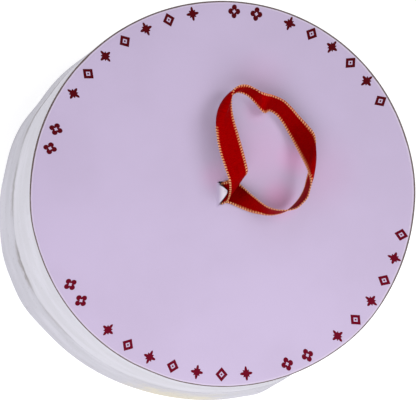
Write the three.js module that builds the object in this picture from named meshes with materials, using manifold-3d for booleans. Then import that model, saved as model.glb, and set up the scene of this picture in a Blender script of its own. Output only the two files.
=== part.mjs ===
// A shut round card gift box for a tall cake, with a loose loop of wired ribbon as its handle.
// Millimetres, +Z up. The origin is the middle of the underside, and the box stands on z = 0.
// +Y is the top of the picture that looks down on the lid, and +X is its right.
import * as THREE from 'three';
import { mergeVertices } from 'three/addons/utils/BufferGeometryUtils.js';
import Module from 'manifold-3d';

// ---- Driving dimensions ----
const boxHeight = 204;
const cardRadius = 120;
const cardThickness = 2;
const fitGap = 0.3;
const skirtHeight = 120;
const skirtWall = 2;
const skirtInset = 0.7;
const boardThickness = 2;
const seamGap = 0.6;
const shoulderReach = 0.1;
const baseFlare = 0.8;
const edgeRounding = 1.2;
const cardRounding = 0.3;
const roundSteps = 96;
const drumRingsBelowLid = 6;
const drumRingsInLid = 4;
const skirtRings = 5;
const mergeDistance = 1e-4;
const cutMargin = 1;

const ribbonThickness = 0.5;
const ribbonStepsPerRuling = 4;
const ribbonStepsAcross = 4;

// ---- Levels and radii that follow from them ----
const cardUnderside = boxHeight - cardThickness;
const lidTop = cardUnderside - fitGap;
const skirtBottom = lidTop - skirtHeight;
const skirtRadius = cardRadius - skirtInset;
const skirtInnerRadius = skirtRadius - skirtWall;
const neckRadius = skirtInnerRadius - fitGap;
const shoulderHeight = skirtBottom - seamGap;
const shoulderRadius = skirtRadius + shoulderReach;
const boardUnderside = lidTop - boardThickness;
const drumTop = boardUnderside - fitGap;

// The slot through the lid for the two ends of the ribbon, and the small pointed card tab that
// lies over them, lifted at its tip. Plan points are measured from the middle of the lid.
const slot = { left: -3.4, right: 0.8, front: -7.8, back: 7.2 };
const tabThickness = 0.5;
const tabHold = 0.9;
const tabHingeX = slot.left - tabHold;
const tabTip = { x: 2.6, y: 0.6, rise: 3.6 };
const tabOutline = [
  [tabHingeX, 6.2],
  [-1.6, 5.2],
  [0.6, 3.2],
  [tabTip.x, tabTip.y],
  [0.6, -3.0],
  [-1.6, -6.6],
  [tabHingeX, -9.0],
];

// Soft bulges and dents of the card wall, strongest at the base and gone at the lid's top.
// Each stands at an angle from +X, in degrees, with its half width and its reach outwards.
const wallDents = [
  { angle: 304, halfWidth: 5, reach: 0.7 },
  { angle: 298, halfWidth: 26, reach: 8.1 },
  { angle: 293, halfWidth: 4, reach: 1.2 },
  { angle: 250, halfWidth: 17, reach: -0.5 },
  { angle: 225, halfWidth: 25, reach: -0.9 },
  { angle: 210, halfWidth: 8, reach: 1.9 },
  { angle: 196, halfWidth: 8, reach: 1.4 },
  { angle: 168, halfWidth: 7, reach: -0.9 },
  { angle: 144, halfWidth: 6, reach: -1.3 },
  { angle: 135, halfWidth: 17, reach: -1.6 },
  { angle: 122, halfWidth: 6, reach: -0.9 },
  { angle: 98, halfWidth: 22, reach: 3.7 },
];

// The ribbon is a flat band that bends and never stretches, so straight lines cross it from one
// selvedge to the other. Each row is one such line, measured from the middle of the lid's top, with
// how far the slack band bulges off it: [first selvedge], [second selvedge], bulge.
const ribbonRulings = [
  [[-2.4, 5.8, -3.6], [-2.0, -7.0, -3.6], 0.0], // first end, down in the slot
  [[-2.2, 5.8, -0.8], [-1.8, -7.0, -0.8], 0.0],
  [[2.3, 7.0, 2.8], [-0.2, -6.8, 1.6], 0.0],
  [[8.5, 8.5, 6.5], [1.0, -6.2, 2.4], 0.0],
  [[13.0, 11.5, 13.0], [2.5, -4.0, 6.2], -0.2], // turns over at the root
  [[13.2, 13.6, 16.2], [2.0, 5.2, 15.8], 0.0],
  [[11.6, 21.5, 15.0], [-0.5, 13.6, 15.6], 0.3],
  [[8.2, 34.7, 13.0], [-3.4, 22.7, 14.6], 0.5],
  [[4.3, 48.7, 12.8], [-5.1, 30.2, 14.4], 1.0],
  [[3.4, 57.7, 14.2], [-5.8, 34.6, 14.6], 2.4],
  [[4.8, 63.0, 15.6], [-6.2, 37.7, 14.4], 4.0], // rolls over the far left corner
  [[8.4, 65.9, 16.2], [-6.0, 40.5, 13.8], 4.4],
  [[12.0, 66.4, 16.0], [-4.5, 45.9, 12.6], 3.4],
  [[14.6, 65.8, 15.6], [-1.5, 52.9, 11.2], 2.2],
  [[16.6, 64.9, 15.2], [2.5, 58.8, 9.6], 1.2],
  [[18.5, 63.9, 14.8], [7.8, 62.0, 8.0], 0.6],
  [[19.7, 63.4, 14.4], [13.6, 60.5, 7.0], 0.3],
  [[21.2, 62.5, 14.2], [19.3, 55.5, 6.2], 0.2],
  [[22.9, 61.8, 15.0], [23.2, 50.8, 7.6], 0.0], // a crease, and a flat facet that falls from it
  [[25.8, 61.1, 13.6], [25.6, 49.7, 5.4], 0.0],
  [[29.3, 60.4, 12.0], [28.6, 51.0, 2.4], 0.0], // the facet ends, down on the lid
  [[36.0, 57.5, 12.6], [32.7, 48.6, 3.8], 0.2],
  [[41.1, 53.2, 11.8], [37.0, 43.2, 4.0], 0.3],
  [[46.9, 47.3, 9.6], [41.4, 35.3, 4.8], 0.2],
  [[51.9, 42.1, 9.4], [46.2, 25.1, 9.4], -0.4],
  [[55.7, 36.9, 10.8], [50.6, 13.8, 17.0], -1.2],
  [[56.3, 32.5, 11.8], [51.8, 6.5, 22.6], -2.1], // turns over at the right
  [[54.9, 25.4, 12.2], [51.7, 3.9, 23.4], -2.2],
  [[52.9, 17.3, 11.8], [51.2, 1.6, 23.2], -1.8],
  [[50.9, 9.2, 10.8], [50.7, -0.8, 22.6], -0.8], // stands on edge
  [[49.2, 1.8, 9.0], [50.0, -3.6, 21.6], 0.0],
  [[45.5, -5.0, 7.0], [47.4, -6.9, 20.4], 0.2],
  [[38.9, -11.3, 5.0], [43.2, -10.4, 19.2], 0.2],
  [[31.9, -13.7, 3.4], [36.6, -11.6, 17.6], 0.2],
  [[26.7, -13.9, 2.2], [27.3, -10.0, 14.6], 0.2],
  [[23.1, -13.3, 1.5], [17.5, -2.2, 8.0], 0.2], // lies down again
  [[17.8, -12.3, 1.1], [9.8, 5.3, 2.4], 0.2],
  [[11.0, -9.8, 0.9], [4.7, 8.2, 1.2], 0.1],
  [[4.1, -6.9, 1.0], [1.6, 7.2, 1.0], 0.0],
  [[0.9, -6.3, 0.7], [1.0, 6.8, 0.7], 0.0],
  [[-0.3, -6.2, -0.7], [-0.2, 6.6, -0.7], 0.0],
  [[-0.4, -6.2, -3.6], [-0.3, 6.6, -3.6], 0.0], // second end, down in the slot
];

const cream = new THREE.MeshStandardMaterial({ color: 0xd9d8e2, roughness: 0.6, metalness: 0 });
const paleBoard = new THREE.MeshStandardMaterial({ color: 0xcfcbd8, roughness: 0.7, metalness: 0 });
const lilac = new THREE.MeshStandardMaterial({ color: 0xc9bbdb, roughness: 0.45, metalness: 0 });
const tabCard = new THREE.MeshStandardMaterial({ color: 0xd6cfe4, roughness: 0.5, metalness: 0 });
const wallPaper = new THREE.MeshStandardMaterial({ color: 0xdddbe6, roughness: 0.6, metalness: 0 });
const redRibbon = new THREE.MeshStandardMaterial({ color: 0x8e0306, roughness: 0.5, metalness: 0 });

// ---- Shape helpers ----

// Makes one closed body from a list of points and a list of triangles of their numbers.
function bodyFrom(points, triangles) {
  const geometry = new THREE.BufferGeometry();
  geometry.setAttribute('position', new THREE.Float32BufferAttribute(points.flat(), 3));
  geometry.setIndex(triangles.flat());
  geometry.computeVertexNormals();
  return geometry;
}

// How far the wall stands out or in at an angle and a height.
function wallWave(angle, height) {
  const fade = Math.max(0, 1 - height / lidTop);
  let reach = 0;
  for (const dent of wallDents) {
    const turned = THREE.MathUtils.radToDeg(angle) - dent.angle;
    const away = THREE.MathUtils.euclideanModulo(turned + 180, 360) - 180;
    reach += dent.reach * Math.exp(-((away / dent.halfWidth) ** 2));
  }
  return reach * fade;
}

// Turns a closed profile of [radius, height] points about Z, with the wall's waves added to it.
// A profile that starts and ends on the axis makes a solid, and any other makes a ring.
function wavyTurning(profile, followsWall) {
  const onAxis = profile[0][0] === 0;
  const rings = onAxis ? profile.slice(1, -1) : profile;
  const points = [];
  for (const [radius, height] of rings) {
    for (let step = 0; step < roundSteps; step += 1) {
      const angle = (2 * Math.PI * step) / roundSteps;
      const wide = radius + (followsWall ? wallWave(angle, height) : 0);
      points.push([wide * Math.cos(angle), wide * Math.sin(angle), height]);
    }
  }
  const triangles = [];
  const lastRing = onAxis ? rings.length - 1 : rings.length;
  for (let ring = 0; ring < lastRing; ring += 1) {
    const next = (ring + 1) % rings.length;
    for (let step = 0; step < roundSteps; step += 1) {
      const turn = (step + 1) % roundSteps;
      const a = ring * roundSteps + step;
      const b = ring * roundSteps + turn;
      const c = next * roundSteps + turn;
      const d = next * roundSteps + step;
      triangles.push([a, b, c], [a, c, d]);
    }
  }
  if (onAxis) {
    const bottom = points.push([0, 0, profile[0][1]]) - 1;
    const top = points.push([0, 0, profile[profile.length - 1][1]]) - 1;
    const lastStart = (rings.length - 1) * roundSteps;
    for (let step = 0; step < roundSteps; step += 1) {
      const turn = (step + 1) % roundSteps;
      triangles.push([bottom, turn, step], [top, lastStart + step, lastStart + turn]);
    }
  }
  return bodyFrom(points, triangles);
}

// Evenly spaced heights from low to high, both included.
function levels(low, high, count) {
  return Array.from({ length: count }, (_, i) => low + ((high - low) * i) / (count - 1));
}

// ---- Sub-parts ----

// The drum's wall is nearly flush with the lid's, and ends in a shoulder that leaves the dark seam.
// Above the shoulder a narrower neck stands inside the lid.
function drumGeometry() {
  const belowLid = levels(edgeRounding, shoulderHeight, drumRingsBelowLid);
  const insideLid = levels(shoulderHeight, drumTop, drumRingsInLid);
  const radiusAt = (height) => shoulderRadius + baseFlare * (1 - height / shoulderHeight);
  return wavyTurning([
    [0, 0],
    [radiusAt(0) - edgeRounding, 0],
    ...belowLid.map((height) => [radiusAt(height), height]),
    ...insideLid.map((height) => [neckRadius, height]),
    [0, drumTop],
  ], true);
}

function skirtGeometry() {
  const up = levels(skirtBottom, lidTop, skirtRings);
  return wavyTurning([
    ...up.map((height) => [skirtRadius, height]),
    ...up.reverse().map((height) => [skirtInnerRadius, height]),
  ], true);
}

function discGeometry(radius, low, high, rounding) {
  return wavyTurning([
    [0, low],
    [radius - rounding, low],
    [radius, low + rounding],
    [radius, high - rounding],
    [radius - rounding, high],
    [0, high],
  ], false);
}

function slotGeometry(low, high) {
  const box = new THREE.BoxGeometry(slot.right - slot.left, slot.back - slot.front, high - low);
  box.translate((slot.right + slot.left) / 2, (slot.back + slot.front) / 2, (high + low) / 2);
  return box;
}

// The tab lies on the card left of the slot, and rises evenly from there to its tip.
function tabGeometry() {
  const rise = (x) => (tabTip.rise * (x - tabHingeX)) / (tabTip.x - tabHingeX);
  const bottom = tabOutline.map(([x, y]) => [x, y, boxHeight + fitGap + rise(x)]);
  const top = bottom.map(([x, y, z]) => [x, y, z + tabThickness]);
  const count = tabOutline.length;
  const triangles = [];
  for (let i = 1; i < count - 1; i += 1) {
    triangles.push([0, i + 1, i], [count, count + i, count + i + 1]);
  }
  for (let i = 0; i < count; i += 1) {
    const next = (i + 1) % count;
    triangles.push([i, next, count + next], [i, count + next, count + i]);
  }
  return bodyFrom([...top, ...bottom], triangles);
}

// How far the band bulges in its middle, at a share of the way along the rulings.
function ribbonBulge(share) {
  const place = share * (ribbonRulings.length - 1);
  const before = Math.min(Math.floor(place), ribbonRulings.length - 2);
  return THREE.MathUtils.lerp(ribbonRulings[before][2], ribbonRulings[before + 1][2], place - before);
}

// The two selvedges are smooth curves through the ends of the rulings. A shallow arch joins them at
// equal parameters, and the band has half its thickness on each side of it.
function ribbonGeometry() {
  const rail = (side) => new THREE.CatmullRomCurve3(
    ribbonRulings.map((ends) => new THREE.Vector3(...ends[side])),
    false,
    'centripetal',
  );
  const first = rail(0);
  const second = rail(1);
  const steps = (ribbonRulings.length - 1) * ribbonStepsPerRuling;
  const across = ribbonStepsAcross;
  const points = [];
  for (let i = 0; i <= steps; i += 1) {
    const here = i / steps;
    const start = second.getPoint(here);
    const end = first.getPoint(here);
    const ruling = end.clone().sub(start);
    const along = first.getTangent(here).add(second.getTangent(here));
    const normal = ruling.clone().cross(along).normalize();
    const bulge = ribbonBulge(here);
    for (const side of [0.5, -0.5]) {
      for (let j = 0; j <= across; j += 1) {
        const share = j / across;
        const arch = 4 * share * (1 - share) * bulge;
        const point = start.clone().addScaledVector(ruling, share);
        point.addScaledVector(normal, arch + side * ribbonThickness);
        points.push([point.x, point.y, point.z + boxHeight]);
      }
    }
  }
  const perStep = 2 * (across + 1);
  const loop = [];
  for (let j = 0; j <= across; j += 1) {
    loop.push(j);
  }
  for (let j = across; j >= 0; j -= 1) {
    loop.push(across + 1 + j);
  }
  const triangles = [];
  for (let i = 0; i < steps; i += 1) {
    for (let k = 0; k < loop.length; k += 1) {
      const a = i * perStep + loop[k];
      const b = i * perStep + loop[(k + 1) % loop.length];
      triangles.push([a, b, b + perStep], [a, b + perStep, a + perStep]);
    }
  }
  const last = steps * perStep;
  for (let j = 0; j < across; j += 1) {
    const under = across + 1 + j;
    triangles.push([j, under, under + 1], [j, under + 1, j + 1]);
    triangles.push([last + j, last + under + 1, last + under], [last + j, last + j + 1, last + under + 1]);
  }
  return bodyFrom(points, triangles);
}

// ---- Joins and cuts ----

const wasm = await Module();
wasm.setup();

function toSolid(geometry) {
  const bare = geometry.clone();
  bare.deleteAttribute('normal');
  bare.deleteAttribute('uv');
  const merged = mergeVertices(bare, mergeDistance);
  return new wasm.Manifold(new wasm.Mesh({
    numProp: 3,
    vertProperties: new Float32Array(merged.attributes.position.array),
    triVerts: new Uint32Array(merged.index.array),
  }));
}

function toGeometry(solid) {
  const mesh = solid.getMesh();
  const geometry = new THREE.BufferGeometry();
  geometry.setAttribute('position', new THREE.BufferAttribute(new Float32Array(mesh.vertProperties), 3));
  geometry.setIndex(new THREE.BufferAttribute(new Uint32Array(mesh.triVerts), 1));
  geometry.computeVertexNormals();
  return geometry;
}

// Cuts the ribbon's slot through a plate that lies between two heights.
function slotted(geometry, low, high) {
  const cutter = slotGeometry(low - cutMargin, high + cutMargin);
  return toGeometry(toSolid(geometry).subtract(toSolid(cutter)));
}

// ---- The box ----

const box = new THREE.Group();

function addPart(name, geometry, material) {
  const mesh = new THREE.Mesh(geometry, material);
  mesh.name = name;
  box.add(mesh);
}

const board = discGeometry(neckRadius, boardUnderside, lidTop, cardRounding);
const card = discGeometry(cardRadius, cardUnderside, boxHeight, cardRounding);

addPart('drum', drumGeometry(), cream);
addPart('lid_skirt', skirtGeometry(), wallPaper);
addPart('lid_board', slotted(board, boardUnderside, lidTop), paleBoard);
addPart('top_card', slotted(card, cardUnderside, boxHeight), lilac);
addPart('slot_tab', tabGeometry(), tabCard);
addPart('ribbon_handle', ribbonGeometry(), redRibbon);

export default box;
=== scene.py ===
"""A shut round card gift box for a tall cake, with a loop of wired ribbon as its handle.

Lengths are in metres in the row frame: +Z up, the origin in the middle of the underside. Each class
makes the pieces of one sub-assembly as numpy surfaces, and each finish class makes one material.
"""

import logging
import math
from dataclasses import dataclass, field
from enum import Enum
from typing import Callable, Optional, Union

import bpy
import numpy as np
from mathutils import Matrix, Vector


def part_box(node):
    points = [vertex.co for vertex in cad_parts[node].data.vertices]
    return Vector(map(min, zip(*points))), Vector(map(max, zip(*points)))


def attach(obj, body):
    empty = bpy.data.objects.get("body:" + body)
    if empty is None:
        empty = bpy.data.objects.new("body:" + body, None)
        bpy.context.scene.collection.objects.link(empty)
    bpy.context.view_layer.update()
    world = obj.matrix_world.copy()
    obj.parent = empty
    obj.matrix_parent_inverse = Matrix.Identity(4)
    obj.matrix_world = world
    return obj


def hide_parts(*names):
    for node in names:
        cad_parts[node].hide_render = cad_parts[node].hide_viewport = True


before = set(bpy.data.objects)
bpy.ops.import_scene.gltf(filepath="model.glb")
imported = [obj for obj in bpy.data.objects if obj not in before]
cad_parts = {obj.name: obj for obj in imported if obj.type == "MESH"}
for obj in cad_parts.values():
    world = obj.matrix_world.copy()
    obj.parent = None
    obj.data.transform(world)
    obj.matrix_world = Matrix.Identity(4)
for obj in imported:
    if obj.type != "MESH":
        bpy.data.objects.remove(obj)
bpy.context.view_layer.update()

LOG = logging.getLogger("gift_box")
MM = 0.001
ROOT_BODY = "root"
SHARP_EDGE = 40.0  # degrees, past which an edge is shaded sharp
Number = Union[float, "Value"]
Shade = tuple[float, float, float]  # a colour as a screen shows it, 0 to 255
Span = tuple[float, float]  # the two ends of a range


# ---- Colours ----

def linear(shade: Shade) -> tuple[float, float, float, float]:
    """Turns a screen's colour into linear light.

    Args:
        shade: Red, green and blue from 0 to 255.

    Returns:
        Red, green and blue from 0 to 1, with an alpha of 1.
    """
    levels = np.array(shade) / 255.0
    light = np.where(levels <= 0.04045, levels / 12.92, ((levels + 0.055) / 1.055) ** 2.4)
    return (*light.tolist(), 1.0)


# ---- Shader graphs ----

@dataclass(frozen=True)
class Value:
    """A socket of a shader graph, with Python's arithmetic for sockets of one number."""

    graph: "Graph"
    socket: bpy.types.NodeSocket

    def __add__(self, other: Number) -> "Value":
        """This number plus another."""
        return self.graph.math("ADD", self, other)

    def __radd__(self, other: Number) -> "Value":
        """Another number plus this."""
        return self.graph.math("ADD", other, self)

    def __sub__(self, other: Number) -> "Value":
        """This number minus another."""
        return self.graph.math("SUBTRACT", self, other)

    def __rsub__(self, other: Number) -> "Value":
        """Another number minus this."""
        return self.graph.math("SUBTRACT", other, self)

    def __mul__(self, other: Number) -> "Value":
        """This number times another."""
        return self.graph.math("MULTIPLY", self, other)

    def __rmul__(self, other: Number) -> "Value":
        """Another number times this."""
        return self.graph.math("MULTIPLY", other, self)

    def __truediv__(self, other: Number) -> "Value":
        """This number over another."""
        return self.graph.math("DIVIDE", self, other)


class Graph:
    """The node graph of one material, which ends in one Principled shader."""

    def __init__(self, name: str) -> None:
        """Starts an empty graph.

        Args:
            name: The new material's name.
        """
        self.material = bpy.data.materials.new(name)
        self.material.use_nodes = True
        self.tree = self.material.node_tree
        self.tree.nodes.clear()
        self.shader = self.tree.nodes.new("ShaderNodeBsdfPrincipled")
        output = self.tree.nodes.new("ShaderNodeOutputMaterial")
        self.tree.links.new(self.shader.outputs["BSDF"], output.inputs["Surface"])

    def feed(self, socket: bpy.types.NodeSocket, given: object) -> None:
        """Sets a socket to a value, or links it to one.

        Args:
            socket: The input.
            given: A number, a colour or a Value.
        """
        if isinstance(given, Value):
            self.tree.links.new(given.socket, socket)
        else:
            socket.default_value = given

    def node(self, kind: str, settings: Optional[dict] = None, inputs: Optional[dict] = None,
             output: Union[int, str] = 0) -> Value:
        """Makes any node.

        Args:
            kind: The node's type, without ShaderNode in front.
            settings: What is set on the node itself, before its sockets.
            inputs: The value or link of each socket, by its name or number.
            output: The socket that is wanted, by its name or number.

        Returns:
            The wanted output.
        """
        made = self.tree.nodes.new("ShaderNode" + kind)
        for key, setting in (settings or {}).items():
            setattr(made, key, setting)
        for key, given in (inputs or {}).items():
            self.feed(made.inputs[key], given)
        return Value(self, made.outputs[output])

    def math(self, operation: str, *terms: Number) -> Value:
        """Makes a Math node of one operation on numbers."""
        return self.node("Math", {"operation": operation}, dict(enumerate(terms)))

    def place(self) -> Value:
        """The point's place on the object, in metres."""
        return self.node("TexCoord", output="Object")

    def uv(self) -> tuple[Value, Value]:
        """The u and v of the piece's own UV map."""
        return self.parts(self.node("UVMap"))[:2]

    def parts(self, vector: Value) -> tuple[Value, Value, Value]:
        """The x, y and z of a vector."""
        made = self.node("SeparateXYZ", inputs={0: vector}).socket.node
        return tuple(Value(self, made.outputs[i]) for i in range(3))

    def vector(self, x: Number, y: Number, z: Number) -> Value:
        """A vector of three numbers."""
        return self.node("CombineXYZ", inputs={0: x, 1: y, 2: z})

    def cells(self, place: Value, size: float, height: float) -> Value:
        """A place counted in cells of one size along X and Y and of another height."""
        x, y, z = self.parts(place)
        return self.vector(x / size, y / size, z / height)

    def away(self, value: Value, middle: float) -> Value:
        """How far a number is from a middle."""
        return self.math("ABSOLUTE", value - middle)

    def between(self, span: Span, share: Value) -> Value:
        """The number at a share, from 0 to 1, of the way from a span's first end to its second."""
        return span[0] + (span[1] - span[0]) * share

    def step(self, value: Value, low: float, high: float) -> Value:
        """Rises smoothly from 0 at low to 1 at high, or falls where low is the higher of the two.

        Args:
            value: The number that is looked at.
            low: Where the mask is 0.
            high: Where the mask is 1.

        Returns:
            The mask, by 3 t^2 - 2 t^3 at share t of the way.
        """
        rising = low < high
        made = self.node(
            "MapRange",
            {"interpolation_type": "SMOOTHSTEP"},
            {"Value": value, "From Min": min(low, high), "From Max": max(low, high)},
        )
        return made if rising else 1.0 - made

    def noise(self, vector: Value, scale: float, detail: float = 2.0, roughness: float = 0.5) -> Value:
        """Makes fractal noise.

        Args:
            vector: Where it is looked up.
            scale: Its cells for each unit of the vector.
            detail: The number of finer layers.
            roughness: How strong each finer layer is.

        Returns:
            The noise, from 0 to 1 and mostly about 0.5.
        """
        return self.node("TexNoise", inputs={
            "Vector": vector,
            "Scale": scale,
            "Detail": detail,
            "Roughness": roughness,
        })

    def blend(self, mask: Number, below: Union[Value, Shade], above: Shade) -> Value:
        """Mixes two colours: below where the mask is 0, and above where it is 1."""
        under = below if isinstance(below, Value) else linear(below)
        return self.node("Mix", {"data_type": "RGBA"}, {0: mask, 6: under, 7: linear(above)}, output=2)

    def shade(self, colour: Value, factor: Value) -> Value:
        """Multiplies a colour by a number.

        Args:
            colour: The colour.
            factor: The number, which may pass 1.

        Returns:
            The brighter or darker colour.
        """
        grey = self.node("CombineColor", inputs={0: factor, 1: factor, 2: factor})
        return self.node(
            "Mix",
            {"data_type": "RGBA", "blend_type": "MULTIPLY"},
            {0: 1.0, 6: colour, 7: grey},
            output=2,
        )

    def bump(self, height: Value, depth: float) -> Value:
        """Turns a height from 0 to 1 into a normal, with the depth in metres that 1 stands for."""
        return self.node("Bump", inputs={"Strength": 1.0, "Distance": depth, "Height": height})

    def finish(self, **sockets: object) -> bpy.types.Material:
        """Feeds the shader.

        Args:
            **sockets: The value of each socket, named with _ for a blank.

        Returns:
            The finished material.
        """
        for key, given in sockets.items():
            self.feed(self.shader.inputs[key.replace("_", " ")], given)
        return self.material


# ---- Surfaces ----

@dataclass
class Surface:
    """The points and faces of one mesh, and the coordinates that its material reads."""

    points: np.ndarray
    faces: list[np.ndarray]
    uv: Optional[np.ndarray] = None

    def moved(self, first: int) -> list[np.ndarray]:
        """Its faces, with their points counted from first."""
        return [part + first for part in self.faces]


def joined(surfaces: list[Surface]) -> Surface:
    """Puts several surfaces into one.

    Args:
        surfaces: The surfaces, all with a UV map or all without.

    Returns:
        One surface, each part of it still closed in itself.
    """
    starts = np.cumsum([0] + [len(surface.points) for surface in surfaces[:-1]])
    faces = [part for surface, start in zip(surfaces, starts) for part in surface.moved(int(start))]
    points = np.concatenate([surface.points for surface in surfaces])
    uv = None if surfaces[0].uv is None else np.concatenate([surface.uv for surface in surfaces])
    return Surface(points, faces, uv)


def quads(rows: int, columns: int, wrap_rows: bool = False) -> np.ndarray:
    """The faces between neighbouring rows of a grid whose columns close on themselves.

    The face of row i and column j has the points (i, j), (i, j + 1), (i + 1, j + 1) and (i + 1, j).

    Args:
        rows: The number of rows.
        columns: The number of columns.
        wrap_rows: Whether the last row is joined to the first.

    Returns:
        Four point numbers for each face.
    """
    row = np.arange(rows if wrap_rows else rows - 1)[:, None]
    column = np.arange(columns)[None, :]
    above, beside = (row + 1) % rows, (column + 1) % columns
    corners = [row * columns + column, row * columns + beside,
               above * columns + beside, above * columns + column]
    return np.stack(corners, axis=-1).reshape(-1, 4)


def fan(rim: np.ndarray, pole: int) -> np.ndarray:
    """The triangles from a pole to each side of a closed rim, whose order sets which way they face."""
    return np.stack([np.full_like(rim, pole), rim, np.roll(rim, -1)], axis=-1)


def turned(profile: np.ndarray, angles: np.ndarray,
           reach: Callable[[np.ndarray, np.ndarray], np.ndarray]) -> Surface:
    """Turns a profile about Z.

    The point of row (r, z) at angle a is at radius r + reach(a, z). A profile that starts and ends
    on the axis has one point at each end, and any other closes on itself as a ring.

    Args:
        profile: Rows of radius and height, outwards and upwards first.
        angles: The angles of the columns.
        reach: How far the wall stands out at an angle and a height.

    Returns:
        The closed surface.
    """
    poled = profile[0, 0] == 0.0
    rings = profile[1:-1] if poled else profile
    height = np.repeat(rings[:, 1:], len(angles), axis=1)
    wide = rings[:, :1] + reach(angles[None, :], height)
    grid = np.stack([wide * np.cos(angles), wide * np.sin(angles), height], axis=-1)
    points = grid.reshape(-1, 3)
    faces = [quads(len(rings), len(angles), wrap_rows=not poled)]
    if poled:
        count, ring = len(points), np.arange(len(angles))
        faces += [fan(ring[::-1], count), fan(count - len(angles) + ring, count + 1)]
        points = np.concatenate([points, [[0.0, 0.0, profile[0, 1]], [0.0, 0.0, profile[-1, 1]]]])
    return Surface(points, faces)


def arc(centre: tuple[float, float], radius: float, start: float, stop: float, count: int) -> np.ndarray:
    """Points of a circle's arc: centre + radius (cos t, sin t), t from start to stop in degrees."""
    turn = np.radians(np.linspace(start, stop, count))
    return np.stack([centre[0] + radius * np.cos(turn), centre[1] + radius * np.sin(turn)], axis=-1)


def straight(start: tuple[float, float], stop: tuple[float, float], count: int) -> np.ndarray:
    """Evenly spaced points from start to stop, without the two ends."""
    share = np.linspace(0.0, 1.0, count + 2)[1:-1, None]
    return (1.0 - share) * np.array(start) + share * np.array(stop)


def make_piece(name: str, surface: Surface, material: bpy.types.Material,
               replaced: Optional[str] = None) -> bpy.types.Object:
    """Makes a mesh object of a surface, dresses it and lets it ride on the part.

    Args:
        name: The piece's name.
        surface: Its points and faces.
        material: Its finish.
        replaced: The CAD node that it stands for, if any.

    Returns:
        The new object.
    """
    mesh = bpy.data.meshes.new(name)
    corners = np.concatenate([part.ravel() for part in surface.faces]).astype(np.int32)
    sizes = np.concatenate([np.full(len(part), part.shape[1]) for part in surface.faces])
    mesh.vertices.add(len(surface.points))
    mesh.vertices.foreach_set("co", surface.points.astype(np.float32).ravel())
    mesh.loops.add(len(corners))
    mesh.loops.foreach_set("vertex_index", corners)
    mesh.polygons.add(len(sizes))
    mesh.polygons.foreach_set("loop_start", np.concatenate([[0], np.cumsum(sizes)[:-1]]).astype(np.int32))
    if surface.uv is not None:
        layer = mesh.uv_layers.new(name="UVMap")
        layer.data.foreach_set("uv", surface.uv[corners].astype(np.float32).ravel())
    mesh.update(calc_edges=True)
    mesh.validate()
    mesh.shade_smooth()
    mesh.set_sharp_from_angle(angle=math.radians(SHARP_EDGE))
    mesh.materials.append(material)
    made = bpy.data.objects.new(name, mesh)
    bpy.context.scene.collection.objects.link(made)
    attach(made, ROOT_BODY)
    if replaced:
        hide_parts(replaced)
    LOG.info("made %s with %d faces", name, len(sizes))
    return made


# ---- The box's shape ----

@dataclass(frozen=True)
class Dent:
    """A soft bulge or dent, at an angle in degrees, with its reach outwards in millimetres."""

    angle: float
    half_width: float
    reach: float


def bell_sum(dents: tuple[Dent, ...], angle: np.ndarray) -> np.ndarray:
    """Sums the dents' bell curves, each reach * exp(-(away / half_width)^2).

    Args:
        dents: The bulges and dents.
        angle: Angles in radians.

    Returns:
        The reach outwards at each angle, in metres.
    """
    total = np.zeros(np.shape(angle))
    for dent in dents:
        away = (np.degrees(angle) - dent.angle + 180.0) % 360.0 - 180.0
        total += dent.reach * np.exp(-((away / dent.half_width) ** 2))
    return total * MM


@dataclass(frozen=True)
class BoxShape:
    """The sizes that the box's pieces share, taken from the frame."""

    top: float
    lid_top: float
    card_low: float
    seam: float
    card_radius: float
    lid_radius: float
    lid_wall: float = 2.0 * MM
    neck_gap: float = 0.3 * MM
    seam_gap: float = 0.25 * MM
    shoulder_reach: float = 0.1 * MM
    base_flare: float = 0.8 * MM
    base_rounding: float = 1.2 * MM
    dents: tuple[Dent, ...] = (
        Dent(304.0, 5.0, 0.7),
        Dent(298.0, 26.0, 8.1),
        Dent(293.0, 4.0, 1.2),
        Dent(250.0, 17.0, -0.5),
        Dent(225.0, 25.0, -0.9),
        Dent(210.0, 8.0, 1.9),
        Dent(196.0, 8.0, 1.4),
        Dent(168.0, 7.0, -0.9),
        Dent(144.0, 6.0, -1.3),
        Dent(135.0, 17.0, -1.6),
        Dent(122.0, 6.0, -0.9),
        Dent(98.0, 22.0, 3.7),
    )

    @classmethod
    def from_frame(cls) -> "BoxShape":
        """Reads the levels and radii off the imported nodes.

        Returns:
            The box's shape.
        """
        card_low, card_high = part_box("top_card")
        skirt_low, skirt_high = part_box("lid_skirt")
        return cls(
            top=card_high.z,
            lid_top=skirt_high.z,
            card_low=card_low.z,
            seam=skirt_low.z,
            card_radius=card_high.x,
            lid_radius=skirt_high.x,
        )

    @property
    def shoulder(self) -> float:
        """The height of the drum's shoulder, just under the lid."""
        return self.seam - self.seam_gap

    def wave(self, angle: np.ndarray, height: np.ndarray) -> np.ndarray:
        """How far the wall stands out: the sum of the dents' bell curves, fading out at the lid's top."""
        return bell_sum(self.dents, angle) * np.maximum(0.0, 1.0 - height / self.lid_top)


def even_angles(count: int, finer_at: float = 0.0, finer_width: float = 0.0,
                finer: int = 0) -> np.ndarray:
    """Angles round the circle, with a finer stretch centred on one angle.

    Args:
        count: The number of even steps.
        finer_at: The middle of the finer stretch, in degrees.
        finer_width: Its width in degrees.
        finer: Its number of steps.

    Returns:
        The angles in radians, in rising order.
    """
    even = np.linspace(0.0, 360.0, count, endpoint=False)
    stretch = finer_at + finer_width * np.linspace(-0.5, 0.5, finer)
    return np.radians(np.unique(np.round(np.concatenate([even, stretch % 360.0]), 4)))


# ---- Finishes ----

@dataclass(frozen=True)
class Rub:
    """A stretch of the seam with dirt and painted shade: its middle along Y and its reach in millimetres,
    and its strength.
    """

    middle: float
    reach: float
    amount: float


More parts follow.
